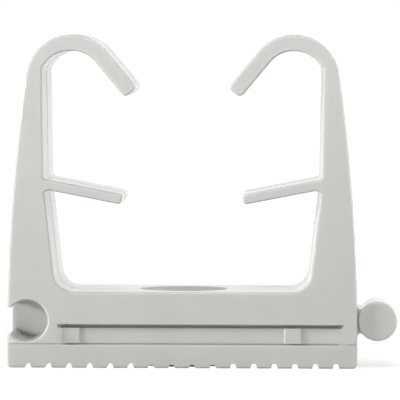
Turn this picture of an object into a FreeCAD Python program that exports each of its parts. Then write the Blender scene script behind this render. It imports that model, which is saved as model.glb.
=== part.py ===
import FreeCAD
import Part
import Sketcher
from collections import namedtuple
import math
import os

# Multi-cable clamp, moulded in one piece: an open frame with two hooked arms and two cable
# fingers on a toothed foot, with a link socket on its left and a link peg on its right.
# Millimetres. X runs from socket to peg, -Y is the front, +Z is up. The origin is on the axis
# of the screw hole, on the plane of the tooth tips.

# Driving dimensions: name, value, meaning
SIZES = [
    ("width", 51.2, "side to side at the foot, without the peg"),
    ("height", 48.67, "tooth tips to the top of the hooks' crowns"),
    ("depth", 20.0, "front face to back face"),
    ("edge_break", 0.3, "chamfer of the front and back outlines"),
    ("floor_height", 11.1, "tooth tips to the floor that the cables lie on"),
    ("floor_span", 36.3, "clear width at the floor, between the arms"),
    ("floor_corner_radius", 2.8, "rounding between the floor and an arm"),
    ("side_radius", 290.0, "bow of an arm's outer side, from the base upwards"),
    ("crown_radius", 6.8, "outer radius of a hook's crown"),
    ("hook_thickness", 2.35, "wall of a crown and its hook"),
    ("shoulder_step", 0.4, "how much thicker than its hook an arm is, just below the crown"),
    ("shoulder_radius", 1.5, "rounding between an arm's inner wall and the inside of its crown"),
    ("hook_angle", 50.3, "slope of a hook below the horizontal, degrees"),
    ("hook_length", 6.8, "straight end of a hook"),
    ("hook_tip_radius", 0.7, "rounding of a hook's tip"),
    ("finger_height", 26.8, "tooth tips to the middle of a finger's root"),
    ("finger_span", 39.9, "clear width between the arms at the fingers"),
    ("finger_gap", 17.6, "clear width between the two finger tips"),
    ("finger_thickness", 1.5, "wall of a finger"),
    ("finger_angle", 11.0, "slope of a finger towards its tip, degrees"),
    ("finger_tip_radius", 0.5, "rounding of a finger's tip"),
    ("finger_root_radius", 0.45, "rounding between a finger and its arm"),
    ("base_height", 3.4, "tooth tips to the seam along the foot"),
    ("base_corner_radius", 0.6, "rounding of the foot's lower corners"),
    ("seam_height", 0.2, "height of the seam line"),
    ("seam_depth", 0.15, "depth of the seam line below the surface round it"),
    ("bar_thickness", 4.7, "floor bar above the recessed band"),
    ("band_depth", 0.8, "recess of the band below the floor bar"),
    ("band_left_inset", 7.3, "left side to the recessed band"),
    ("band_left_ramp", 1.5, "slope into the band at its left end"),
    ("band_right_inset", 1.9, "right side to the recessed band"),
    ("band_right_ramp", 1.1, "slope into the band at its right end"),
    ("groove_height", 0.55, "height of the groove under the floor bar"),
    ("groove_depth", 1.0, "depth of that groove below the band"),
    ("post_inset", 9.4, "side to the middle of a post on the band"),
    ("post_width", 2.6, "post on the band"),
    ("post_height", 0.35, "how far a post stands out of the band"),
    ("post_edge_radius", 0.25, "rounding of a post's edges"),
    ("tooth_pitch", 3.0, "from one notch of the foot to the next"),
    ("notch_depth", 0.95, "depth of a notch"),
    ("notch_mouth", 1.0, "width of a notch at the tooth tips"),
    ("notch_top", 0.35, "width of a notch at its top"),
    ("pad_diameter", 14.0, "plain pad round the screw hole, under the foot"),
    ("hole_diameter", 6.5, "screw or plug hole"),
    ("sink_diameter", 13.0, "countersink at the floor"),
    ("sink_angle", 90.0, "included angle of the countersink, degrees"),
    ("link_height", 6.88, "tooth tips to the axis of the socket and the peg"),
    ("link_offset", 2.95, "side to the axis of the socket or the peg"),
    ("link_clearance", 0.1, "play between a peg and a socket on each side"),
    ("socket_radius", 3.0, "link socket"),
    ("socket_depth", 12.0, "front face to the floor of the socket"),
    ("socket_mouth", 3.8, "opening of the socket to the left"),
    ("jaw_tip_radius", 0.42, "rounding of the socket's jaws on the left side"),
    ("jaw_throat_radius", 0.35, "rounding of the jaws where the mouth meets the socket"),
    ("peg_setback", 1.0, "front face to the front of the peg"),
    ("peg_end_clearance", 0.3, "play between a peg's end and the socket floor"),
    ("peg_end_radius", 0.4, "rounding of the peg's ends"),
    ("neck_setback", 0.5, "how far the peg's neck is shorter than the peg at each end"),
    ("neck_root_radius", 0.45, "rounding between the neck and the right side"),
]

# Sizes that follow from the driving dimensions, as expressions of the sheet
CROWN_Z = "sizes.height - sizes.crown_radius"
INNER_CROWN = "sizes.crown_radius - sizes.hook_thickness"
WALL_FROM_CROWN = "sizes.crown_radius - sizes.hook_thickness - sizes.shoulder_step"
BAND_TOP = "sizes.floor_height - sizes.bar_thickness"
SEAM_TOP = "sizes.base_height + sizes.seam_height"
NECK_HEIGHT = "sizes.socket_mouth - 2 * sizes.link_clearance"
PEG_RADIUS = "sizes.socket_radius - sizes.link_clearance"
PEG_LENGTH = "sizes.socket_depth - sizes.peg_end_clearance - sizes.peg_setback"
NOTCHES = "round(sizes.width / sizes.tooth_pitch) - 1"

# Vertex numbers of a sketch's elements, the sketch's horizontal axis and its own origin
START, END, CENTRE = range(1, 4)
LEVEL_AXIS = -1
ORIGIN = (LEVEL_AXIS, START)

# Two places closer than this are the same place
NEAR = 1e-4

Rectangle = namedtuple("Rectangle", "bottom right top left")


def vector(x, y):
    return FreeCAD.Vector(x, y, 0)


def make_sheet(doc):
    sheet = doc.addObject("Spreadsheet::Sheet", "sizes")
    for row, (alias, value, meaning) in enumerate(SIZES, start=1):
        sheet.set(f"A{row}", alias)
        sheet.set(f"B{row}", str(value))
        sheet.set(f"C{row}", meaning)
        sheet.setAlias(f"B{row}", alias)
    doc.recompute()


def make_sketch(body, name, role="XZ_Plane", lift=None):
    """Sketch on one of the body's origin planes, moved along its normal by an expression."""
    sketch = body.newObject("Sketcher::SketchObject", name)
    plane = next(item for item in body.Origin.OriginFeatures if item.Role == role)
    sketch.AttachmentSupport = [(plane, "")]
    sketch.MapMode = "FlatFace"
    if lift:
        sketch.setExpression("AttachmentOffset.Base.z", lift)
    return sketch


def value_of(item, expression):
    """Present value of an expression of the sheet."""
    return float(item.evalExpression(expression))


def dimension(sketch, name, expression, kind, *where):
    """Named constraint that is bound to the sheet; angles are in degrees."""
    value = value_of(sketch, expression)
    if kind == "Angle":
        value = math.radians(value)
        expression = f"({expression}) * 1 deg"
    index = sketch.addConstraint(Sketcher.Constraint(kind, *where, value))
    sketch.renameConstraint(index, name)
    sketch.setExpression("Constraints." + name, expression)


def join(sketch, kind, first, second):
    """Coincident or tangent joint between two element ends."""
    sketch.addConstraint(Sketcher.Constraint(kind, *first, *second))


def add_line(sketch, start, end):
    return sketch.addGeometry(Part.LineSegment(start, end), False)


def add_arc(sketch, centre, start, end):
    """Arc that runs anticlockwise from start to end."""
    circle = Part.Circle(centre, FreeCAD.Vector(0, 0, 1), centre.distanceToPoint(start))
    first = math.atan2(start.y - centre.y, start.x - centre.x)
    last = math.atan2(end.y - centre.y, end.x - centre.x)
    if last < first:
        last += 2 * math.pi
    return sketch.addGeometry(Part.ArcOfCircle(circle, first, last), False)


def add_rectangle(sketch, low, high):
    """Upright rectangle of four lines, end to end."""
    corners = [low, vector(high.x, low.y), high, vector(low.x, high.y)]
    lines = [add_line(sketch, corners[side], corners[(side + 1) % 4]) for side in range(4)]
    for side in range(4):
        join(sketch, "Coincident", (lines[side], END), (lines[(side + 1) % 4], START))
        kind = "Horizontal" if side % 2 == 0 else "Vertical"
        sketch.addConstraint(Sketcher.Constraint(kind, lines[side]))
    return Rectangle(*lines)


def pad_both_ways(body, name, sketch, length):
    pad = body.newObject("PartDesign::Pad", name)
    pad.Profile = sketch
    pad.SideType = "Symmetric"
    pad.setExpression("Length", length)
    pad.Refine = True
    return pad


def pad_backwards(body, name, sketch, length):
    """Pad from the sketch towards +Y."""
    pad = body.newObject("PartDesign::Pad", name)
    pad.Profile = sketch
    pad.SideType = "One side"
    pad.Reversed = True
    pad.setExpression("Length", length)
    pad.Refine = True
    return pad


def pocket_backwards(body, name, sketch, length):
    """Pocket from the sketch towards +Y."""
    pocket = body.newObject("PartDesign::Pocket", name)
    pocket.Profile = sketch
    pocket.SideType = "One side"
    pocket.Type = "Length"
    pocket.Reversed = False
    pocket.setExpression("Length", length)
    pocket.Refine = True
    return pocket


def mirror(body, name, originals, role):
    feature = body.newObject("PartDesign::Mirrored", name)
    plane = next(item for item in body.Origin.OriginFeatures if item.Role == role)
    feature.Originals = originals
    feature.MirrorPlane = (plane, [""])
    body.Tip = feature


def dress_edges(doc, body, name, kind, size_name, size, wanted):
    """Fillet or chamfer on the edges of the body so far that the test picks."""
    doc.recompute()
    base = body.Tip
    names = [f"Edge{i}" for i, edge in enumerate(base.Shape.Edges, start=1) if wanted(edge)]
    if not names:
        raise RuntimeError(f"{name}: no edge found")
    dressing = body.newObject("PartDesign::" + kind, name)
    dressing.Base = (base, names)
    dressing.setExpression(size_name, size)
    doc.recompute()


def round_edges(doc, body, name, radius, wanted):
    dress_edges(doc, body, name, "Fillet", "Radius", radius, wanted)


def break_edges(doc, body, name, size, wanted):
    dress_edges(doc, body, name, "Chamfer", "Size", size, wanted)


def along_depth(edge):
    ends = [vertex.Point for vertex in edge.Vertexes]
    return (len(ends) == 2 and abs(ends[0].x - ends[1].x) < NEAR
            and abs(ends[0].z - ends[1].z) < NEAR)


def edge_at(edge, x, z):
    """True for an edge along the depth that passes through the given place."""
    point = edge.Vertexes[0].Point
    return along_depth(edge) and math.hypot(point.x - x, point.z - z) < NEAR


def side_at(body, z):
    """How far the arms' outer sides are from the middle, at a height above the base."""
    bow = value_of(body, "sizes.side_radius")
    rise = z - value_of(body, "sizes.base_height")
    return value_of(body, "sizes.width / 2") - bow + math.sqrt(bow ** 2 - rise ** 2)


def crown_middle(item):
    """Middle of the right crown, whose round runs on into the bow of the arm's outer side."""
    bow = value_of(item, "sizes.side_radius")
    rise = value_of(item, f"{CROWN_Z} - sizes.base_height")
    reach = math.sqrt((bow - value_of(item, "sizes.crown_radius")) ** 2 - rise ** 2)
    return vector(value_of(item, "sizes.width / 2") - bow + reach, value_of(item, CROWN_Z))


def wall_top(item):
    """Top of the right arm's inner wall, at the inside of the crown."""
    across = value_of(item, WALL_FROM_CROWN)
    return crown_middle(item) + vector(across, math.sqrt(value_of(item, INNER_CROWN) ** 2 - across ** 2))


def make_block(body, name, width, height):
    """Upright block that stands on the plane of the tooth tips."""
    sketch = make_sketch(body, name + "_outline")
    half = value_of(sketch, f"({width}) / 2")
    block = add_rectangle(sketch, vector(-half, 0), vector(half, value_of(sketch, height)))
    sketch.addConstraint(Sketcher.Constraint("PointOnObject", block.bottom, START, LEVEL_AXIS))
    dimension(sketch, "left_side", f"({width}) / 2", "DistanceX", block.bottom, START, *ORIGIN)
    dimension(sketch, "right_side", f"({width}) / 2", "DistanceX", *ORIGIN, block.bottom, END)
    dimension(sketch, "height", height, "DistanceY", block.right, START, block.right, END)
    return pad_both_ways(body, name, sketch, "sizes.depth")


def make_foot(body):
    """Base as wide as the clamp, and the block under the floor between the arms."""
    make_block(body, "base", "sizes.width", "sizes.base_height")
    make_block(body, "floor_block", "sizes.floor_span", "sizes.floor_height")


def make_arm(body):
    """Right arm: bowed outside, crown, hook with a rounded tip, inside, and seat on the base."""
    sketch = make_sketch(body, "arm_outline")
    half = value_of(sketch, "sizes.width / 2")
    base = value_of(sketch, "sizes.base_height")
    floor = value_of(sketch, "sizes.floor_height")
    bow = value_of(sketch, "sizes.side_radius")
    crown = value_of(sketch, "sizes.crown_radius")
    inner = value_of(sketch, INNER_CROWN)
    slope = math.radians(value_of(sketch, "sizes.hook_angle"))
    tip = value_of(sketch, "sizes.hook_tip_radius")
    straight = value_of(sketch, "sizes.hook_length - sizes.hook_tip_radius")
    corner = value_of(sketch, "sizes.floor_corner_radius")

    bow_start = vector(half, base)
    bow_centre = vector(half - bow, base)
    crown_centre = crown_middle(sketch)
    outward = (crown_centre - bow_centre).normalize()
    bow_end = bow_centre + outward * bow
    down = vector(-math.cos(slope), -math.sin(slope))
    inward = vector(math.sin(slope), -math.cos(slope))
    outer_start = crown_centre - inward * crown
    outer_end = outer_start + down * straight
    inner_start = crown_centre - inward * inner
    inner_end = inner_start + down * straight
    upper_centre = outer_end + inward * tip
    lower_centre = inner_end - inward * tip
    knee = vector(value_of(sketch, "sizes.finger_span / 2"), value_of(sketch, "sizes.finger_height"))
    inner_top = wall_top(sketch)
    foot_corner = vector(value_of(sketch, "sizes.floor_span / 2"), floor)
    upward = (knee - foot_corner).normalize()
    setback = corner / math.tan(math.acos(-upward.x) / 2)
    wall_end = foot_corner + upward * setback
    floor_end = foot_corner - vector(setback, 0)
    corner_centre = floor_end + vector(0, corner)
    seat_end = vector(floor_end.x, base)

    bowed = add_arc(sketch, bow_centre, bow_start, bow_end)
    outer_crown = add_arc(sketch, crown_centre, bow_end, outer_start)
    outer_hook = add_line(sketch, outer_end, outer_start)
    upper_tip = add_arc(sketch, upper_centre, outer_end, upper_centre + down * tip)
    tip_face = add_line(sketch, upper_centre + down * tip, lower_centre + down * tip)
    lower_tip = add_arc(sketch, lower_centre, lower_centre + down * tip, inner_end)
    inner_hook = add_line(sketch, inner_end, inner_start)
    inner_crown = add_arc(sketch, crown_centre, inner_top, inner_start)
    upper_wall = add_line(sketch, inner_top, knee)
    lower_wall = add_line(sketch, knee, wall_end)
    floor_round = add_arc(sketch, corner_centre, floor_end, wall_end)
    joint_face = add_line(sketch, floor_end, seat_end)
    seat = add_line(sketch, seat_end, bow_start)
    meeting = sketch.addGeometry(Part.Point(foot_corner), True)

    join(sketch, "Coincident", (seat, END), (bowed, START))
    join(sketch, "Tangent", (bowed, END), (outer_crown, START))
    join(sketch, "Tangent", (outer_crown, END), (outer_hook, END))
    join(sketch, "Tangent", (outer_hook, START), (upper_tip, START))
    join(sketch, "Tangent", (upper_tip, END), (tip_face, START))
    join(sketch, "Tangent", (tip_face, END), (lower_tip, START))
    join(sketch, "Tangent", (lower_tip, END), (inner_hook, START))
    join(sketch, "Tangent", (inner_hook, END), (inner_crown, END))
    join(sketch, "Coincident", (inner_crown, START), (upper_wall, START))
    join(sketch, "Coincident", (upper_wall, END), (lower_wall, START))
    join(sketch, "Tangent", (lower_wall, END), (floor_round, END))
    join(sketch, "Coincident", (floor_round, START), (joint_face, START))
    join(sketch, "Coincident", (joint_face, END), (seat, START))
    join(sketch, "Coincident", (inner_crown, CENTRE), (outer_crown, CENTRE))
    sketch.addConstraint(Sketcher.Constraint("Horizontal", bowed, CENTRE, bowed, START))
    sketch.addConstraint(Sketcher.Constraint("Vertical", floor_round, CENTRE, floor_round, START))
    sketch.addConstraint(Sketcher.Constraint("Vertical", joint_face))
    sketch.addConstraint(Sketcher.Constraint("Horizontal", seat))
    sketch.addConstraint(Sketcher.Constraint("Parallel", outer_hook, inner_hook))
    sketch.addConstraint(Sketcher.Constraint("Perpendicular", outer_hook, tip_face))
    sketch.addConstraint(Sketcher.Constraint("PointOnObject", meeting, START, lower_wall))
    sketch.addConstraint(Sketcher.Constraint("Horizontal", meeting, START, floor_round, START))

    dimension(sketch, "side", "sizes.width / 2", "DistanceX", *ORIGIN, bowed, START)
    dimension(sketch, "base", "sizes.base_height", "DistanceY", *ORIGIN, bowed, START)
    dimension(sketch, "floor", "sizes.floor_height", "DistanceY", *ORIGIN, floor_round, START)
    dimension(sketch, "bow", "sizes.side_radius", "Radius", bowed)
    dimension(sketch, "crown", "sizes.crown_radius", "Radius", outer_crown)
    dimension(sketch, "crown_height", CROWN_Z, "DistanceY", *ORIGIN, outer_crown, CENTRE)
    dimension(sketch, "inner_crown", INNER_CROWN, "Radius", inner_crown)
    dimension(sketch, "wall_top", WALL_FROM_CROWN, "DistanceX", outer_crown, CENTRE, upper_wall, START)
    dimension(sketch, "hook_slope", "sizes.hook_angle", "Angle", outer_hook)
    dimension(sketch, "hook", "sizes.hook_length - sizes.hook_tip_radius", "Distance", outer_hook)
    dimension(sketch, "upper_tip", "sizes.hook_tip_radius", "Radius", upper_tip)
    dimension(sketch, "lower_tip", "sizes.hook_tip_radius", "Radius", lower_tip)
    dimension(sketch, "finger_span", "sizes.finger_span / 2", "DistanceX", *ORIGIN, lower_wall, START)
    dimension(sketch, "finger_height", "sizes.finger_height", "DistanceY", *ORIGIN, lower_wall, START)
    dimension(sketch, "floor_corner", "sizes.floor_corner_radius", "Radius", floor_round)
    dimension(sketch, "floor_span", "sizes.floor_span / 2", "DistanceX", *ORIGIN, meeting, START)
    return pad_both_ways(body, "right_arm", sketch, "sizes.depth")


def make_finger(body):
    """Right finger: a thin tongue that slopes down from the arm to a rounded tip."""
    sketch = make_sketch(body, "finger_outline")
    slope = math.radians(value_of(sketch, "sizes.finger_angle"))
    thick = value_of(sketch, "sizes.finger_thickness")
    radius = value_of(sketch, "sizes.finger_tip_radius")
    knee = vector(value_of(sketch, "sizes.finger_span / 2"), value_of(sketch, "sizes.finger_height"))
    outward = vector(math.cos(slope), math.sin(slope))
    up = vector(-math.sin(slope), math.cos(slope)) * (thick / 2)
    root = knee + outward * thick
    tip = knee - outward * ((knee.x - value_of(sketch, "sizes.finger_gap / 2")) / math.cos(slope))
    round_up = up * (1 - 2 * radius / thick)
    upper_centre = tip + outward * radius + round_up
    lower_centre = tip + outward * radius - round_up

    top = add_line(sketch, tip + outward * radius + up, root + up)
    root_face = add_line(sketch, root + up, root - up)
    bottom = add_line(sketch, root - up, tip + outward * radius - up)
    lower_tip = add_arc(sketch, lower_centre, tip - round_up, tip + outward * radius - up)
    tip_face = add_line(sketch, tip - round_up, tip + round_up)
    upper_tip = add_arc(sketch, upper_centre, tip + outward * radius + up, tip + round_up)
    middle = sketch.addGeometry(Part.LineSegment(tip, root), True)
    knee_point = sketch.addGeometry(Part.Point(knee), True)

    join(sketch, "Coincident", (top, END), (root_face, START))
    join(sketch, "Coincident", (root_face, END), (bottom, START))
    join(sketch, "Tangent", (bottom, END), (lower_tip, END))
    join(sketch, "Tangent", (lower_tip, START), (tip_face, START))
    join(sketch, "Tangent", (tip_face, END), (upper_tip, END))
    join(sketch, "Tangent", (upper_tip, START), (top, START))
    sketch.addConstraint(Sketcher.Constraint("Parallel", top, middle))
    sketch.addConstraint(Sketcher.Constraint("Symmetric", top, END, bottom, START, middle, END))
    sketch.addConstraint(Sketcher.Constraint("Perpendicular", root_face, middle))
    sketch.addConstraint(Sketcher.Constraint("Perpendicular", tip_face, middle))
    sketch.addConstraint(Sketcher.Constraint("Symmetric", tip_face, END, tip_face, START, middle, START))
    sketch.addConstraint(Sketcher.Constraint("PointOnObject", knee_point, START, middle))

    dimension(sketch, "slope", "sizes.finger_angle", "Angle", middle)
    dimension(sketch, "thickness", "sizes.finger_thickness", "Distance", root_face)
    dimension(sketch, "upper_tip", "sizes.finger_tip_radius", "Radius", upper_tip)
    dimension(sketch, "lower_tip", "sizes.finger_tip_radius", "Radius", lower_tip)
    dimension(sketch, "span", "sizes.finger_span / 2", "DistanceX", *ORIGIN, knee_point, START)
    dimension(sketch, "height", "sizes.finger_height", "DistanceY", *ORIGIN, knee_point, START)
    dimension(sketch, "gap", "sizes.finger_gap / 2", "DistanceX", *ORIGIN, middle, START)
    dimension(sketch, "root", "sizes.finger_thickness", "Distance", knee_point, START, middle, END)
    return pad_both_ways(body, "right_finger", sketch, "sizes.depth")


def round_finger_roots(doc, body):
    """Small fillets where each finger springs from its arm."""
    span = value_of(body, "sizes.finger_span / 2")
    height = value_of(body, "sizes.finger_height")
    near_root = value_of(body, "sizes.finger_thickness")

    def at_root(edge):
        point = edge.Vertexes[0].Point
        return along_depth(edge) and math.hypot(abs(point.x) - span, point.z - height) < near_root

    round_edges(doc, body, "finger_roots", "sizes.finger_root_radius", at_root)


def round_shoulders(doc, body):
    """Rounded corner where each arm's inner wall meets the inside of its crown."""
    corner = wall_top(body)
    round_edges(doc, body, "shoulders", "sizes.shoulder_radius",
                lambda edge: any(edge_at(edge, side * corner.x, corner.y) for side in (-1, 1)))


def make_socket(body):
    """Link socket: a blind round hole from the front, with a mouth through the left side."""
    sketch = make_sketch(body, "socket_outline", lift="sizes.depth / 2")
    half = value_of(sketch, "sizes.width / 2")
    offset = value_of(sketch, "sizes.link_offset")
    radius = value_of(sketch, "sizes.socket_radius")
    mouth = value_of(sketch, "sizes.socket_mouth / 2")
    centre = vector(offset - half, value_of(sketch, "sizes.link_height"))
    throat = math.sqrt(radius ** 2 - mouth ** 2)
    upper = centre + vector(-throat, mouth)
    lower = centre + vector(-throat, -mouth)
    outside = centre.x - 2 * offset

    bowl = add_arc(sketch, centre, lower, upper)
    upper_lip = add_line(sketch, upper, vector(outside, upper.y))
    end_line = add_line(sketch, vector(outside, upper.y), vector(outside, lower.y))
    lower_lip = add_line(sketch, vector(outside, lower.y), lower)
    join(sketch, "Coincident", (bowl, END), (upper_lip, START))
    join(sketch, "Coincident", (upper_lip, END), (end_line, START))
    join(sketch, "Coincident", (end_line, END), (lower_lip, START))
    join(sketch, "Coincident", (lower_lip, END), (bowl, START))
    sketch.addConstraint(Sketcher.Constraint("Horizontal", upper_lip))
    sketch.addConstraint(Sketcher.Constraint("Horizontal", lower_lip))
    sketch.addConstraint(Sketcher.Constraint("Vertical", end_line))
    sketch.addConstraint(Sketcher.Constraint("Vertical", bowl, START, bowl, END))
    dimension(sketch, "from_side", "sizes.width / 2 - sizes.link_offset", "DistanceX",
              bowl, CENTRE, *ORIGIN)
    dimension(sketch, "height", "sizes.link_height", "DistanceY", *ORIGIN, bowl, CENTRE)
    dimension(sketch, "radius", "sizes.socket_radius", "Radius", bowl)
    dimension(sketch, "mouth", "sizes.socket_mouth", "DistanceY", bowl, START, bowl, END)
    dimension(sketch, "overrun", "2 * sizes.link_offset", "DistanceX", end_line, START, bowl, CENTRE)
    pocket_backwards(body, "link_socket", sketch, "sizes.socket_depth")


def round_jaws(doc, body):
    """Rounded jaw tips on the left side, and where the mouth opens into the socket."""
    centre_x = value_of(body, "sizes.link_offset - sizes.width / 2")
    centre_z = value_of(body, "sizes.link_height")
    mouth = value_of(body, "sizes.socket_mouth / 2")
    throat = centre_x - math.sqrt(value_of(body, "sizes.socket_radius") ** 2 - mouth ** 2)
    lips = (centre_z - mouth, centre_z + mouth)

    round_edges(doc, body, "jaw_tips", "sizes.jaw_tip_radius",
                lambda edge: any(edge_at(edge, -side_at(body, z), z) for z in lips))
    round_edges(doc, body, "jaw_throat", "sizes.jaw_throat_radius",
                lambda edge: any(edge_at(edge, throat, z) for z in lips))


def round_outline(doc, body):
    """Round lower corners of the foot, then broken edges along the front and back outlines."""
    half = value_of(body, "sizes.width / 2")
    face = value_of(body, "sizes.depth / 2")

    def in_face(edge):
        box = edge.BoundBox
        return box.YLength < NEAR and abs(abs(box.YMin) - face) < NEAR

    round_edges(doc, body, "foot_corners", "sizes.base_corner_radius",
                lambda edge: edge_at(edge, -half, 0) or edge_at(edge, half, 0))
    break_edges(doc, body, "outline_edges", "sizes.edge_break", in_face)


def make_peg(doc, body):
    """Link peg: a short round bar on a narrower neck, sized to slide into a like socket."""
    neck_lift = "sizes.depth / 2 - sizes.peg_setback - sizes.neck_setback"
    sketch = make_sketch(body, "neck_outline", lift=neck_lift)
    half = value_of(sketch, "sizes.width / 2")
    offset = value_of(sketch, "sizes.link_offset")
    centre_z = value_of(sketch, "sizes.link_height")
    rise = value_of(sketch, NECK_HEIGHT) / 2
    low = vector(half - offset, centre_z - rise)
    high = vector(half + offset, centre_z + rise)
    neck = add_rectangle(sketch, low, high)
    dimension(sketch, "root", "sizes.width / 2 - sizes.link_offset", "DistanceX",
              *ORIGIN, neck.bottom, START)
    dimension(sketch, "reach", "2 * sizes.link_offset", "DistanceX", neck.bottom, START, neck.bottom, END)
    dimension(sketch, "neck", NECK_HEIGHT, "DistanceY", neck.right, START, neck.right, END)
    dimension(sketch, "height", f"sizes.link_height - ({NECK_HEIGHT}) / 2", "DistanceY",
              *ORIGIN, neck.bottom, START)
    pad_backwards(body, "peg_neck", sketch, f"{PEG_LENGTH} - 2 * sizes.neck_setback")

    sketch = make_sketch(body, "peg_outline", lift="sizes.depth / 2 - sizes.peg_setback")
    centre = vector(half + offset, centre_z)
    radius = value_of(sketch, PEG_RADIUS)
    ring = sketch.addGeometry(Part.Circle(centre, FreeCAD.Vector(0, 0, 1), radius), False)
    dimension(sketch, "radius", PEG_RADIUS, "Radius", ring)
    dimension(sketch, "from_side", "sizes.width / 2 + sizes.link_offset", "DistanceX",
              *ORIGIN, ring, CENTRE)
    dimension(sketch, "height", "sizes.link_height", "DistanceY", *ORIGIN, ring, CENTRE)
    pad_backwards(body, "link_peg", sketch, PEG_LENGTH)

    def peg_end(edge):
        curve = edge.Curve
        return (isinstance(curve, Part.Circle) and edge.isClosed()
                and abs(curve.Radius - radius) < NEAR and abs(curve.Center.x - centre.x) < NEAR)

    def neck_root(edge):
        box = edge.BoundBox
        on_side = box.XMin > side_at(body, high.y) - NEAR and box.XMax < side_at(body, low.y) + NEAR
        return on_side and box.ZMin > low.y - NEAR and box.ZMax < high.y + NEAR

    round_edges(doc, body, "peg_ends", "sizes.peg_end_radius", peg_end)
    round_edges(doc, body, "neck_roots", "sizes.neck_root_radius", neck_root)


def cut_recess(body, name, low, high, deep):
    """Long recess with sloping ends, between two heights, front and back."""
    sketch = make_sketch(body, name + "_outline", role="XY_Plane", lift=low)
    face = value_of(sketch, "sizes.depth / 2")
    bottom = value_of(sketch, f"{deep} - sizes.depth / 2")
    left_x = value_of(sketch, "sizes.band_left_inset - sizes.width / 2")
    right_x = value_of(sketch, "sizes.width / 2 - sizes.band_right_inset")
    left_end = vector(left_x + value_of(sketch, "sizes.band_left_ramp"), bottom)
    right_end = vector(right_x - value_of(sketch, "sizes.band_right_ramp"), bottom)

    opening = add_line(sketch, vector(left_x, -face), vector(right_x, -face))
    right_ramp = add_line(sketch, vector(right_x, -face), right_end)
    back = add_line(sketch, right_end, left_end)
    left_ramp = add_line(sketch, left_end, vector(left_x, -face))
    sides = [opening, right_ramp, back, left_ramp]
    for first, second in zip(sides, sides[1:] + sides[:1]):
        join(sketch, "Coincident", (first, END), (second, START))
    sketch.addConstraint(Sketcher.Constraint("Horizontal", opening))
    sketch.addConstraint(Sketcher.Constraint("Horizontal", back))
    dimension(sketch, "face", "sizes.depth / 2", "DistanceY", opening, START, *ORIGIN)
    dimension(sketch, "left_end", "sizes.width / 2 - sizes.band_left_inset", "DistanceX",
              opening, START, *ORIGIN)
    dimension(sketch, "right_end", "sizes.width / 2 - sizes.band_right_inset", "DistanceX",
              *ORIGIN, opening, END)
    dimension(sketch, "deep", deep, "DistanceY", opening, START, back, END)
    dimension(sketch, "left_ramp", "sizes.band_left_ramp", "DistanceX", left_ramp, END, left_ramp, START)
    dimension(sketch, "right_ramp", "sizes.band_right_ramp", "DistanceX",
              right_ramp, END, right_ramp, START)

    recess = body.newObject("PartDesign::Pocket", name)
    recess.Profile = sketch
    recess.SideType = "One side"
    recess.Type = "Length"
    recess.Reversed = True
    recess.setExpression("Length", f"({high}) - ({low})")
    recess.Refine = True
    mirror(body, name + "_both_faces", [recess], "XZ_Plane")


def make_band(body):
    """Recessed band below the floor bar."""
    cut_recess(body, "band", "sizes.base_height", BAND_TOP, "sizes.band_depth")


def make_groove(body):
    """Deep groove right under the floor bar."""
    cut_recess(body, "groove", f"{BAND_TOP} - sizes.groove_height", BAND_TOP,
               "sizes.band_depth + sizes.groove_depth")


def make_posts(doc, body):
    """Two low upright posts on the recessed band, front and back."""
    sketch = make_sketch(body, "post_outline")
    middle = value_of(sketch, "sizes.width / 2 - sizes.post_inset")
    half_post = value_of(sketch, "sizes.post_width / 2")
    low = value_of(sketch, "sizes.base_height - sizes.band_depth")
    high = value_of(sketch, f"{BAND_TOP} + sizes.band_depth")
    for name, place in (("left", -middle), ("right", middle)):
        post = add_rectangle(sketch, vector(place - half_post, low), vector(place + half_post, high))
        outer = (*ORIGIN, post.bottom, END) if place > 0 else (post.bottom, START, *ORIGIN)
        dimension(sketch, name + "_place", "sizes.width / 2 - sizes.post_inset + sizes.post_width / 2",
                  "DistanceX", *outer)
        dimension(sketch, name + "_width", "sizes.post_width", "DistanceX",
                  post.bottom, START, post.bottom, END)
        dimension(sketch, name + "_low", "sizes.base_height - sizes.band_depth", "DistanceY",
                  *ORIGIN, post.bottom, START)
        dimension(sketch, name + "_high", f"{BAND_TOP} + sizes.band_depth", "DistanceY",
                  *ORIGIN, post.top, START)
    pad_both_ways(body, "posts", sketch, "sizes.depth - 2 * (sizes.band_depth - sizes.post_height)")
    face = value_of(body, "sizes.depth / 2 - sizes.band_depth + sizes.post_height")

    def post_edge(edge):
        box = edge.BoundBox
        upright = box.XLength < NEAR and box.YLength < NEAR
        at_side = abs(abs(abs(box.XMin) - middle) - half_post) < NEAR
        return upright and at_side and abs(abs(box.YMin) - face) < NEAR

    round_edges(doc, body, "post_edges", "sizes.post_edge_radius", post_edge)


def make_seam(body):
    """Fine line along the top of the toothed base, as deep in the band as in the faces."""
    cut_recess(body, "band_seam", "sizes.base_height", SEAM_TOP, "sizes.band_depth + sizes.seam_depth")
    sketch = make_sketch(body, "seam_outline", lift="sizes.depth / 2")
    half = value_of(sketch, "sizes.width / 2")
    low = value_of(sketch, "sizes.base_height")
    high = value_of(sketch, SEAM_TOP)
    line = add_rectangle(sketch, vector(-half, low), vector(half, high))
    dimension(sketch, "left_end", "sizes.width / 2", "DistanceX", line.bottom, START, *ORIGIN)
    dimension(sketch, "right_end", "sizes.width / 2", "DistanceX", *ORIGIN, line.bottom, END)
    dimension(sketch, "base", "sizes.base_height", "DistanceY", *ORIGIN, line.bottom, START)
    dimension(sketch, "line", "sizes.seam_height", "DistanceY", line.right, START, line.right, END)
    seam = pocket_backwards(body, "seam", sketch, "sizes.seam_depth")
    mirror(body, "seam_both_faces", [seam], "XZ_Plane")


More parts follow.
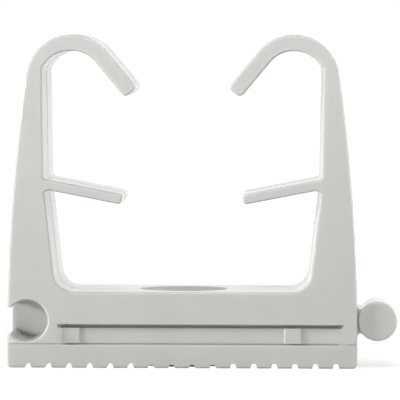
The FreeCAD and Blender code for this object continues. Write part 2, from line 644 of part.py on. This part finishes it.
def make_teeth(doc, body):
    """Notches across the underside, as many as the width takes, and the plain pad at the hole."""
    first_place = f"(({NOTCHES}) - 1) / 2 * sizes.tooth_pitch"
    sketch = make_sketch(body, "notch_outline")
    place = -value_of(sketch, first_place)
    mouth = value_of(sketch, "sizes.notch_mouth / 2")
    narrow = value_of(sketch, "sizes.notch_top / 2")
    rise = value_of(sketch, "sizes.notch_depth")
    bottom = add_line(sketch, vector(place - mouth, 0), vector(place + mouth, 0))
    right = add_line(sketch, vector(place + mouth, 0), vector(place + narrow, rise))
    top = add_line(sketch, vector(place + narrow, rise), vector(place - narrow, rise))
    left = add_line(sketch, vector(place - narrow, rise), vector(place - mouth, 0))
    middle = sketch.addGeometry(Part.LineSegment(vector(place, 0), vector(place, rise)), True)
    for first, second in ((bottom, right), (right, top), (top, left), (left, bottom)):
        join(sketch, "Coincident", (first, END), (second, START))
    sketch.addConstraint(Sketcher.Constraint("Horizontal", bottom))
    sketch.addConstraint(Sketcher.Constraint("Vertical", middle))
    sketch.addConstraint(Sketcher.Constraint("Symmetric", bottom, START, bottom, END, middle, START))
    sketch.addConstraint(Sketcher.Constraint("Symmetric", top, START, top, END, middle, END))
    sketch.addConstraint(Sketcher.Constraint("Horizontal", top))
    sketch.addConstraint(Sketcher.Constraint("PointOnObject", middle, START, LEVEL_AXIS))
    dimension(sketch, "place", first_place, "DistanceX", middle, START, *ORIGIN)
    dimension(sketch, "mouth", "sizes.notch_mouth", "Distance", bottom)
    dimension(sketch, "narrow", "sizes.notch_top", "Distance", top)
    dimension(sketch, "deep", "sizes.notch_depth", "Distance", middle)
    notch = body.newObject("PartDesign::Pocket", "notch")
    notch.Profile = sketch
    notch.SideType = "Symmetric"
    notch.setExpression("Length", "2 * sizes.depth")
    doc.recompute()

    teeth = body.newObject("PartDesign::LinearPattern", "teeth")
    axis = next(item for item in body.Origin.OriginFeatures if item.Role == "X_Axis")
    teeth.Originals = [notch]
    teeth.Direction = (axis, [""])
    teeth.Mode = "Spacing"
    teeth.setExpression("Offset", "sizes.tooth_pitch")
    teeth.setExpression("Occurrences", NOTCHES)
    body.Tip = teeth

    sketch = make_sketch(body, "pad_outline", role="XY_Plane")
    radius = value_of(sketch, "sizes.pad_diameter / 2")
    ring = sketch.addGeometry(Part.Circle(vector(0, 0), FreeCAD.Vector(0, 0, 1), radius), False)
    join(sketch, "Coincident", (ring, CENTRE), ORIGIN)
    dimension(sketch, "pad", "sizes.pad_diameter", "Diameter", ring)
    pad = body.newObject("PartDesign::Pad", "hole_pad")
    pad.Profile = sketch
    pad.SideType = "One side"
    pad.setExpression("Length", "sizes.notch_depth")
    pad.Refine = True
    doc.recompute()


def make_hole(doc, body):
    """Screw hole down through the foot, countersunk at the floor."""
    sketch = make_sketch(body, "hole_place", role="XY_Plane", lift="sizes.floor_height")
    radius = value_of(sketch, "sizes.hole_diameter / 2")
    ring = sketch.addGeometry(Part.Circle(vector(0, 0), FreeCAD.Vector(0, 0, 1), radius), False)
    join(sketch, "Coincident", (ring, CENTRE), ORIGIN)
    dimension(sketch, "hole", "sizes.hole_diameter", "Diameter", ring)
    doc.recompute()
    hole = body.newObject("PartDesign::Hole", "screw_hole")
    hole.Profile = sketch
    hole.Threaded = False
    hole.ThreadType = "None"
    hole.DepthType = "ThroughAll"
    hole.HoleCutType = "Countersink"
    hole.HoleCutCustomValues = True
    hole.setExpression("Diameter", "sizes.hole_diameter")
    hole.setExpression("HoleCutDiameter", "sizes.sink_diameter")
    hole.setExpression("HoleCutCountersinkAngle", "sizes.sink_angle * 1 deg")
    doc.recompute()


def check_document(doc, body):
    """Stops if an object failed, a feature changed nothing, or the body isn't one solid."""
    for item in doc.Objects:
        if "Invalid" in item.State or "Error" in item.State:
            raise RuntimeError(f"{item.Name} failed: {item.State}")
    for item in body.Group:
        base = getattr(item, "BaseFeature", None)
        if base and abs(item.Shape.Volume - base.Shape.Volume) < NEAR:
            raise RuntimeError(f"{item.Name} changed nothing")
    shape = body.Shape
    if shape.isNull() or not shape.isValid() or len(shape.Solids) != 1:
        raise RuntimeError("the clamp isn't one valid solid")


def main():
    doc = FreeCAD.newDocument("cable_clamp")
    make_sheet(doc)
    body = doc.addObject("PartDesign::Body", "clamp_body")
    body.Label = "clamp_body"
    make_foot(body)
    arm = make_arm(body)
    finger = make_finger(body)
    doc.recompute()
    mirror(body, "left_side", [arm, finger], "YZ_Plane")
    round_finger_roots(doc, body)
    round_shoulders(doc, body)
    make_socket(body)
    round_jaws(doc, body)
    round_outline(doc, body)
    make_peg(doc, body)
    make_band(body)
    make_posts(doc, body)
    make_groove(body)
    make_seam(body)
    make_teeth(doc, body)
    make_hole(doc, body)
    doc.recompute()
    check_document(doc, body)
    os.makedirs("parts", exist_ok=True)
    body.Shape.exportStep(f"parts/{body.Label}.step")
    print(f"{body.Label}: {body.Shape.Volume:.1f} mm3, {len(body.Shape.Faces)} faces")


main()
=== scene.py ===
import math

import bmesh
import bpy
from mathutils import Matrix, Vector


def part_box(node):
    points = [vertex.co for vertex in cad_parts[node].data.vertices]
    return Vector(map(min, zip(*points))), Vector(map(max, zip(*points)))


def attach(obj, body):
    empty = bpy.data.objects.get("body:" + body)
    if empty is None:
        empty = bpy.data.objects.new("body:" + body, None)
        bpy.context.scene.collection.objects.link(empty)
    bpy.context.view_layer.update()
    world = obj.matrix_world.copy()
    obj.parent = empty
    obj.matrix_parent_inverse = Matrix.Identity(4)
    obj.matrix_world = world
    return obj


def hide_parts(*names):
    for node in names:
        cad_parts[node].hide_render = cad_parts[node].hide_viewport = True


# Light grey moulded cable clamp on a white sweep. The row frame is in metres: X runs from the
# link socket to the link peg, -Y is the front, +Z is up, and the teeth stand on Z = 0.
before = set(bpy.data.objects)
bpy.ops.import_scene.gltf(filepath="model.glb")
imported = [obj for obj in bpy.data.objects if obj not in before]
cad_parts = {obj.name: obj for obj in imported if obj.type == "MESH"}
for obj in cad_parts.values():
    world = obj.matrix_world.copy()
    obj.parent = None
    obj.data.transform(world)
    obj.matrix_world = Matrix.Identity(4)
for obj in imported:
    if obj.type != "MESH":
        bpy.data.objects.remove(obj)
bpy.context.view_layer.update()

MM = 0.001

# Camera: its place, the point of the front face in the middle of the image, the width of the
# front face that the image takes in, and a slight roll
CAMERA_PLACE = Vector((18.8, -643.0, 47.9)) * MM
CAMERA_AIM = Vector((2.6, -10.0, 24.6)) * MM
FIELD_WIDTH = 58.3 * MM
CAMERA_ROLL = math.radians(0.12)
SENSOR_WIDTH_MM = 36.0

# Mesh of the clamp: points this close are merged, faces that turn less than the flat angle are
# joined, edges that turn as much as the sharp angle look sharp, and the weight lets the large
# faces lead the shading
MERGE_DISTANCE = 0.001 * MM
FLAT_ANGLE = math.radians(0.1)
SHARP_ANGLE = math.radians(50)
FLAT_WEIGHT = 100

# Mould draft: how much further from the middle each inner wall stands at the front than at the
# back, the part of the clamp that has it, and the share of a point's normal that has to lie
# across the depth for the point to be on a wall
WALL_DRAFT = 0.35 * MM
DRAFT_ABOVE = 11.0 * MM
DRAFT_BEYOND = 15.0 * MM
WALL_SHARE = 0.05

# Mould line at mid-depth: a ridge on the frame and the fingers, clear of the screw hole
MOULD_LINE_WIDTH = 0.3 * MM
MOULD_LINE_HEIGHT = 0.04 * MM
MOULD_LINE_ABOVE = 10.0 * MM
MOULD_LINE_BEYOND = 7.0 * MM

# Notches of the foot: their pitch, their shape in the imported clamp, and their lower tops here,
# which are lowest on the four that the pad round the screw hole closes
TOOTH_PITCH = 3.0 * MM
PACKED_HEIGHT = 0.95 * MM
PACKED_TOP = 0.35 * MM
NOTCH_MOUTH = 1.0 * MM
OPEN_HEIGHT = 0.68 * MM
CLOSED_HEIGHT = 0.5 * MM
CLOSED_WITHIN = 6.0 * MM

# Finish: colour, faint flow marks, polish, the light that the plastic lets in, and its grain.
# Each pattern's fineness is in waves per metre.
PLASTIC = (0.585, 0.575, 0.552)
FLOW_SHADES = (0.975, 1.02)
FLOW_SPREAD = (0.3, 0.7)
FLOW_FINENESS = 90.0
ROUGHNESS = (0.1, 0.14)
POLISH_FINENESS = 260.0
REFRACTION = 1.46
SCATTER = 0.4
SCATTER_REACH = 1.5 * MM
SCATTER_SHARES = (1.0, 0.97, 0.93)
GRAIN_HEIGHT = 0.01 * MM
GRAIN_STRENGTH = 0.1
GRAIN_FINENESS = 4000.0

# Studio floor: its colour, its roughness, half its width in metres, and how white it looks of
# itself at two distances in metres: less so close to the clamp, where the lamps and the shadow
# do the rest, than far from it, where the lamps don't reach
SWEEP_COLOUR = (0.6, 0.6, 0.6)
SWEEP_ROUGHNESS = 0.9
SWEEP_HALF_WIDTH = 30.0
SWEEP_WHITE = (0.42, 0.68)
SWEEP_REACH = (0.03, 0.38)

# Studio backdrop: its colour, how bright it looks, and how much light it gives, which rises from
# the first level to the second between two directions, each given by its share along Y
BACK_COLOUR = (1, 1, 1, 1)
BACK_SEEN = 1.0
BACK_LEVEL = (0, 1.25)
BACK_SPREAD = (-0.3, 0.7)

# Studio lamps: the point that they face, and each one's place and size in millimetres and power
# in watts
LAMP_AIM = Vector((0, 0, 20)) * MM
LAMPS = {
    "left_key": ((-362, -120, 105), (70, 90), 1.3),
    "overhead_fill": ((20, -120, 140), (110, 90), 0.155),
    "front_fill": ((-160, -400, 30), (80, 60), 0.09),
    "right_fill": ((335, 15, 90), (200, 160), 0.6),
}

# Node editor: where a tree's row of nodes starts, and the step from one node to the next
NODE_START = -4000
NODE_STEP = 220


def add_object(name, data):
    thing = bpy.data.objects.new(name, data)
    bpy.context.scene.collection.objects.link(thing)
    return thing


def add_node(tree, kind, **settings):
    """New node with the given settings, next in its tree's row."""
    node = tree.nodes.new(kind)
    node.location = (NODE_START + NODE_STEP * len(tree.nodes), 0)
    for name, value in settings.items():
        setattr(node, name, value)
    return node


def add_noise(tree, place, fineness):
    """Cloudy pattern of the given fineness, fixed to the piece."""
    noise = add_node(tree, "ShaderNodeTexNoise")
    noise.inputs["Scale"].default_value = fineness
    tree.links.new(place.outputs["Object"], noise.inputs["Vector"])
    return noise.outputs["Fac"]


def set_span(node, side, span):
    """Sets both ends of one side, From or To, of a node that maps a range."""
    for end, value in zip(("Min", "Max"), span):
        node.inputs[f"{side} {end}"].default_value = value


def new_material(name):
    material = bpy.data.materials.new(name)
    material.use_nodes = True
    tree = material.node_tree
    return material, tree, tree.nodes["Principled BSDF"]


def moulded_plastic():
    """Satin grey plastic that lets a little light in, with flow marks, uneven polish and grain."""
    material, tree, shader = new_material("moulded_plastic")
    link = tree.links.new
    shader.inputs["IOR"].default_value = REFRACTION
    shader.inputs["Subsurface Weight"].default_value = SCATTER
    shader.inputs["Subsurface Radius"].default_value = SCATTER_SHARES
    shader.inputs["Subsurface Scale"].default_value = SCATTER_REACH
    place = add_node(tree, "ShaderNodeTexCoord")

    flow = add_noise(tree, place, FLOW_FINENESS)
    tint = add_node(tree, "ShaderNodeValToRGB")
    for element, position, shade in zip(tint.color_ramp.elements, FLOW_SPREAD, FLOW_SHADES):
        element.position = position
        element.color = (*[shade * part for part in PLASTIC], 1)
    link(flow, tint.inputs["Fac"])
    link(tint.outputs["Color"], shader.inputs["Base Color"])

    unevenness = add_noise(tree, place, POLISH_FINENESS)
    polish = add_node(tree, "ShaderNodeMapRange")
    set_span(polish, "To", ROUGHNESS)
    link(unevenness, polish.inputs["Value"])
    link(polish.outputs["Result"], shader.inputs["Roughness"])

    grain = add_noise(tree, place, GRAIN_FINENESS)
    bump = add_node(tree, "ShaderNodeBump")
    bump.inputs["Strength"].default_value = GRAIN_STRENGTH
    bump.inputs["Distance"].default_value = GRAIN_HEIGHT
    link(grain, bump.inputs["Height"])
    link(bump.outputs["Normal"], shader.inputs["Normal"])
    return material


def on_frame(vertex):
    """Whether a point is on the part of the clamp that has the mould line."""
    return vertex.co.z > MOULD_LINE_ABOVE and abs(vertex.co.x) > MOULD_LINE_BEYOND


def raise_mould_line(shell):
    """A fine ridge round the frame at mid-depth, where the two halves of the mould met."""
    for place in (-MOULD_LINE_WIDTH / 2, 0, MOULD_LINE_WIDTH / 2):
        faces = [face for face in shell.faces if any(on_frame(vertex) for vertex in face.verts)]
        # Dictionaries keep their order, so the mesh is the same each run
        edges = dict.fromkeys(edge for face in faces for edge in face.edges)
        corners = dict.fromkeys(vertex for face in faces for vertex in face.verts)
        bmesh.ops.bisect_plane(shell, geom=[*corners, *edges, *faces], dist=MERGE_DISTANCE,
                               plane_co=(0, place, 0), plane_no=(0, 1, 0))
    shell.normal_update()
    for vertex in shell.verts:
        if on_frame(vertex) and abs(vertex.co.y) < MERGE_DISTANCE:
            vertex.co += vertex.normal * MOULD_LINE_HEIGHT


def draft_inner_walls(shell):
    """Leans the two inner walls apart, from nothing at the back to the full draft in front."""
    low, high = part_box("clamp_body")
    shell.normal_update()
    for vertex in shell.verts:
        across = Vector((vertex.normal.x, vertex.normal.z))
        beside = abs(vertex.co.x) > DRAFT_BEYOND and vertex.co.z > DRAFT_ABOVE
        inward = vertex.normal.x * vertex.co.x < 0
        if beside and inward and across.length > WALL_SHARE:
            forward = (high[1] - vertex.co.y) / (high[1] - low[1])
            vertex.co.x -= WALL_DRAFT * forward * across.normalized().x


def lower_notches(shell):
    """Brings the tops of the notches under the foot down along the notches' own walls."""
    for vertex in shell.verts:
        if abs(vertex.co.z - PACKED_HEIGHT) < MERGE_DISTANCE:
            height = CLOSED_HEIGHT if abs(vertex.co.x) < CLOSED_WITHIN else OPEN_HEIGHT
            top = NOTCH_MOUTH + (PACKED_TOP - NOTCH_MOUTH) * height / PACKED_HEIGHT
            middle = (math.floor(vertex.co.x / TOOTH_PITCH) + 0.5) * TOOTH_PITCH
            vertex.co.x = middle + (vertex.co.x - middle) * top / PACKED_TOP
            vertex.co.z = height


def dress_clamp():
    """The clamp's own mesh, its facets joined, with its fine trim, true shading and finish."""
    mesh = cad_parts["clamp_body"].data.copy()
    mesh.name = "clamp_shell"
    shell = bmesh.new()
    shell.from_mesh(mesh)
    bmesh.ops.remove_doubles(shell, verts=shell.verts, dist=MERGE_DISTANCE)
    bmesh.ops.dissolve_limit(shell, angle_limit=FLAT_ANGLE, verts=shell.verts, edges=shell.edges)
    raise_mould_line(shell)
    draft_inner_walls(shell)
    lower_notches(shell)
    for face in shell.faces:
        face.smooth = True
    for edge in shell.edges:
        edge.smooth = edge.is_manifold and edge.calc_face_angle() < SHARP_ANGLE
    shell.to_mesh(mesh)
    shell.free()
    clamp = add_object("clamp_shell", mesh)
    normals = clamp.modifiers.new("flat_faces", "WEIGHTED_NORMAL")
    normals.keep_sharp = True
    normals.weight = FLAT_WEIGHT
    mesh.materials.clear()
    mesh.materials.append(moulded_plastic())
    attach(clamp, "root")
    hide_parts("clamp_body")


def white_when_seen(tree):
    """One to the camera, in a reflection and through a see-through piece, and otherwise nothing."""
    rays = add_node(tree, "ShaderNodeLightPath")
    seen = rays.outputs["Is Camera Ray"]
    for ray in ("Is Glossy Ray", "Is Transmission Ray"):
        either = add_node(tree, "ShaderNodeMath", operation="MAXIMUM")
        tree.links.new(seen, either.inputs[0])
        tree.links.new(rays.outputs[ray], either.inputs[1])
        seen = either.outputs[0]
    return seen


def painted_light_under_foot(tree, place):
    """One on the floor under the foot, where the floor's glow is painted full white over the
    clamp's shadow, and nothing elsewhere; the patch is as wide on the right of the hole as on its
    left.
    """
    low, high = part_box("clamp_body")
    axes = add_node(tree, "ShaderNodeSeparateXYZ")
    tree.links.new(place.outputs["Object"], axes.inputs[0])
    inside = []
    for axis, reach in (("X", -low[0]), ("Y", high[1])):
        away = add_node(tree, "ShaderNodeMath", operation="ABSOLUTE")
        within = add_node(tree, "ShaderNodeMath", operation="LESS_THAN")
        tree.links.new(axes.outputs[axis], away.inputs[0])
        tree.links.new(away.outputs[0], within.inputs[0])
        within.inputs[1].default_value = reach
        inside.append(within.outputs[0])
    both = add_node(tree, "ShaderNodeMath", operation="MULTIPLY")
    for socket, result in zip(both.inputs, inside):
        tree.links.new(result, socket)
    return both.outputs[0]


def sweep_material():
    """Pale floor that is white to the camera and still takes the clamp's shadow.

    Under the foot its glow is painted full white, painted light over the clamp's shadow there, so
    that the gaps between the teeth look white.
    """
    material, tree, shader = new_material("white_sweep")
    link = tree.links.new
    shader.inputs["Base Color"].default_value = (*SWEEP_COLOUR, 1)
    shader.inputs["Roughness"].default_value = SWEEP_ROUGHNESS

    place = add_node(tree, "ShaderNodeTexCoord")
    distance = add_node(tree, "ShaderNodeVectorMath", operation="LENGTH")
    link(place.outputs["Object"], distance.inputs[0])
    white = add_node(tree, "ShaderNodeMapRange", interpolation_type="SMOOTHSTEP")
    set_span(white, "From", SWEEP_REACH)
    set_span(white, "To", SWEEP_WHITE)
    link(distance.outputs["Value"], white.inputs["Value"])
    # Painted light: a full white glow on the floor under the foot, where the clamp's shadow falls
    painted_light_mask = painted_light_under_foot(tree, place)
    glow_and_painted_light = add_node(tree, "ShaderNodeMath", operation="MAXIMUM")
    link(white.outputs["Result"], glow_and_painted_light.inputs[0])
    link(painted_light_mask, glow_and_painted_light.inputs[1])

    seen = white_when_seen(tree)
    share = add_node(tree, "ShaderNodeMath", operation="MULTIPLY")
    link(seen, share.inputs[0])
    link(glow_and_painted_light.outputs[0], share.inputs[1])
    glow = add_node(tree, "ShaderNodeEmission")
    link(share.outputs[0], glow.inputs["Strength"])
    surface = add_node(tree, "ShaderNodeAddShader")
    link(shader.outputs[0], surface.inputs[0])
    link(glow.outputs[0], surface.inputs[1])
    link(surface.outputs[0], tree.nodes["Material Output"].inputs["Surface"])
    return material


def add_sweep():
    mesh = bpy.data.meshes.new("white_sweep")
    ground = bmesh.new()
    bmesh.ops.create_grid(ground, x_segments=1, y_segments=1, size=SWEEP_HALF_WIDTH)
    ground.to_mesh(mesh)
    ground.free()
    floor = add_object("white_sweep", mesh)
    mesh.materials.append(sweep_material())


def add_lamp(name, place_mm, size_mm, power):
    lamp = bpy.data.lights.new(name, "AREA")
    lamp.shape = "RECTANGLE"
    lamp.size = size_mm[0] * MM
    lamp.size_y = size_mm[1] * MM
    lamp.energy = power
    holder = add_object(name, lamp)
    place = Vector(place_mm) * MM
    holder.location = place
    holder.rotation_mode = "QUATERNION"
    holder.rotation_quaternion = (LAMP_AIM - place).to_track_quat("-Z", "Y")


def light_studio():
    """White studio: a bright backdrop behind the clamp, a key lamp on its left and three fills."""
    for name, (place_mm, size_mm, power) in LAMPS.items():
        add_lamp(name, place_mm, size_mm, power)

    world = bpy.data.worlds.new("studio")
    bpy.context.scene.world = world
    world.use_nodes = True
    tree = world.node_tree
    link = tree.links.new
    backdrop = tree.nodes["Background"]
    backdrop.inputs["Color"].default_value = BACK_COLOUR
    direction = add_node(tree, "ShaderNodeTexCoord")
    axes = add_node(tree, "ShaderNodeSeparateXYZ")
    link(direction.outputs["Generated"], axes.inputs[0])
    level = add_node(tree, "ShaderNodeMapRange", interpolation_type="SMOOTHSTEP")
    set_span(level, "From", BACK_SPREAD)
    set_span(level, "To", BACK_LEVEL)
    link(axes.outputs["Y"], level.inputs["Value"])
    seen = white_when_seen(tree)
    strength = add_node(tree, "ShaderNodeMix")
    link(seen, strength.inputs["Factor"])
    link(level.outputs["Result"], strength.inputs["A"])
    strength.inputs["B"].default_value = BACK_SEEN
    link(strength.outputs["Result"], backdrop.inputs["Strength"])


def add_camera():
    data = bpy.data.cameras.new("photo_camera")
    data.sensor_width = SENSOR_WIDTH_MM
    sight = CAMERA_AIM - CAMERA_PLACE
    data.lens = SENSOR_WIDTH_MM * sight.length / FIELD_WIDTH
    camera = add_object("photo_camera", data)
    facing = sight.to_track_quat("-Z", "Y").to_matrix().to_4x4()
    roll = Matrix.Rotation(CAMERA_ROLL, 4, "Z")
    camera.matrix_world = Matrix.Translation(CAMERA_PLACE) @ facing @ roll
    bpy.context.scene.camera = camera


dress_clamp()
add_sweep()
light_studio()
add_camera()
bpy.context.scene.view_settings.view_transform = "Standard"
